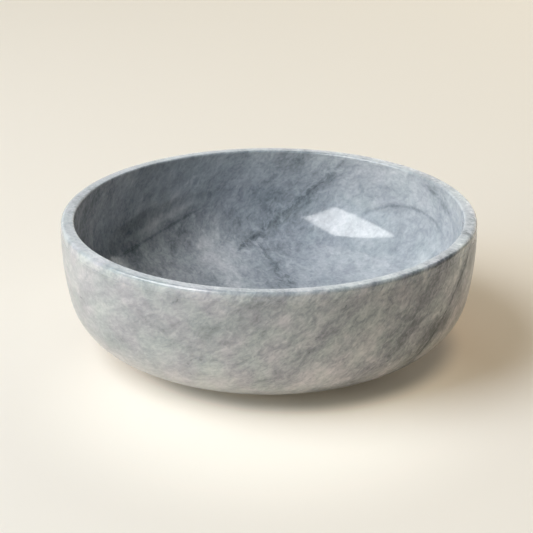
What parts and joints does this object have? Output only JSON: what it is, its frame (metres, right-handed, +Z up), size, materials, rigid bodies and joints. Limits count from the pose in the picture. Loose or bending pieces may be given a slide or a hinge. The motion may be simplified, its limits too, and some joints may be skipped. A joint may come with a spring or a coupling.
{
  "type": "shaving bowl",
  "caption": "Low round shaving bowl turned from blue-grey marble, with a flat rim, nearly upright walls, a rounded hollow for lather, and soft bumpers beneath.",
  "frame": {"origin": "on the surface the bowl stands on, under the middle of the bowl", "axes": "+Z up along the bowl's turning axis; X and Y pass between neighbouring bumpers"},
  "size_m": [0.127, 0.127, 0.042],
  "materials": {
    "marble": "turned and polished blue-grey marble",
    "bumper": "moulded translucent soft bumper"
  },
  "bodies": {
    "root": {"bowl": "marble", "bumper_1": "bumper", "bumper_2": "bumper", "bumper_3": "bumper", "bumper_4": "bumper"}
  },
  "joints": []
}
